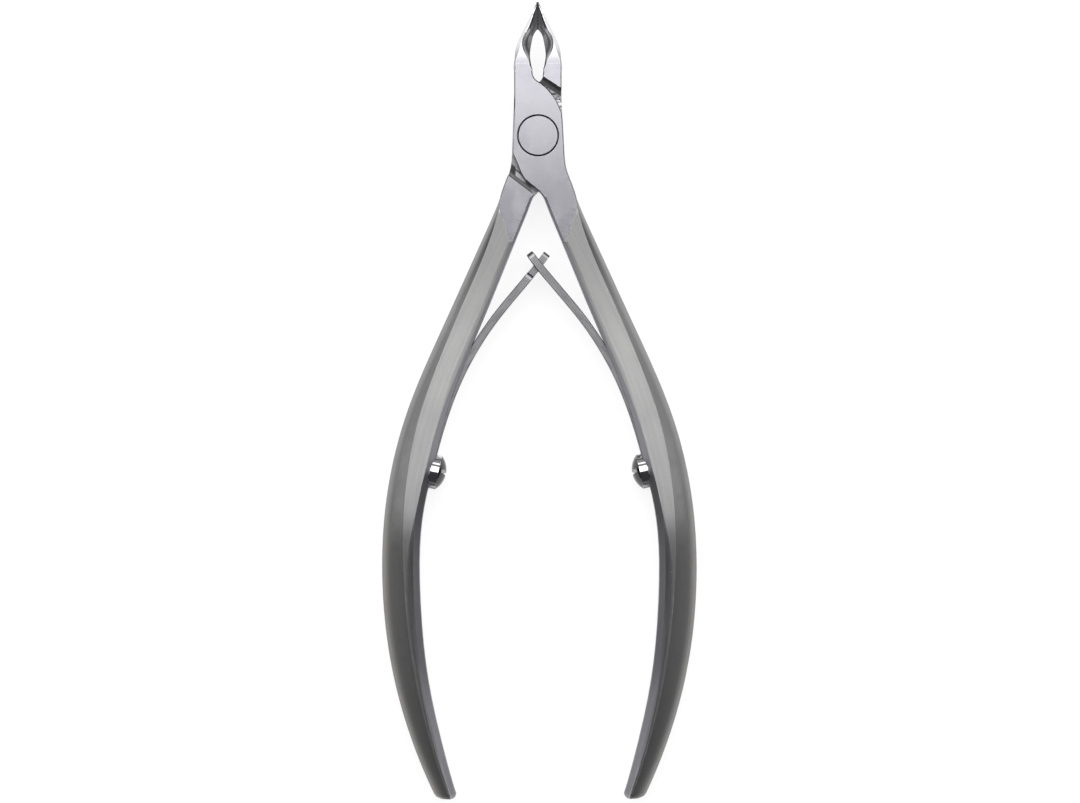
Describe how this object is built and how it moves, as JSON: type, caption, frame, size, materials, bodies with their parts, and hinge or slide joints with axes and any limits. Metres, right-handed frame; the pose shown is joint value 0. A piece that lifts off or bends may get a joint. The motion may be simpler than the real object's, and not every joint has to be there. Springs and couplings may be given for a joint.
{
  "type": "cuticle nipper",
  "caption": "Lap-jointed steel cuticle nipper with fine hollow-ground jaws, bowed handles and interlocking leaf springs.",
  "frame": {"origin": "on the pivot axis, in the plane of the joint's back face, which the tool rests on", "axes": "+Y from the pivot towards the cutting tips, +Z along the pivot axis from the back face to the front face, +X across the tool"},
  "size_m": [0.0454, 0.115, 0.0062],
  "materials": {
    "polished_steel": "satin ground with polished joint flats",
    "pivot_steel": "polished flush",
    "spring_steel": "satin",
    "screw_chrome": "bright plated"
  },
  "bodies": {
    "front": {"front_half": "polished_steel", "right_screw": "screw_chrome"},
    "back": {"back_half": "polished_steel", "pivot": "pivot_steel", "left_screw": "screw_chrome"},
    "right_spring": {"right_leaf": "spring_steel"},
    "left_spring": {"left_leaf": "spring_steel"}
  },
  "joints": [
    {"name": "main_pivot", "type": "hinge", "parent": "front", "child": "back", "pos_m": [0, 0, 0.0031], "axis": [0, 0, -1], "range_deg": [0, 14], "stiffness_Nm_per_rad": 0.6, "springref_deg": 14},
    {"name": "right_leaf_bend", "type": "hinge", "parent": "front", "child": "right_spring", "pos_m": [0.0158, -0.04817, 0.0031], "axis": [0, 0, 1], "range_deg": [0, 5], "deforming": ["right_leaf"]},
    {"name": "left_leaf_bend", "type": "hinge", "parent": "back", "child": "left_spring", "pos_m": [-0.0158, -0.04817, 0.0031], "axis": [0, 0, -1], "range_deg": [0, 5], "deforming": ["left_leaf"]}
  ],
  "couplings": [
    {"joint": "right_leaf_bend", "follows": "main_pivot", "ratio": 0.34},
    {"joint": "left_leaf_bend", "follows": "main_pivot", "ratio": 0.34}
  ]
}
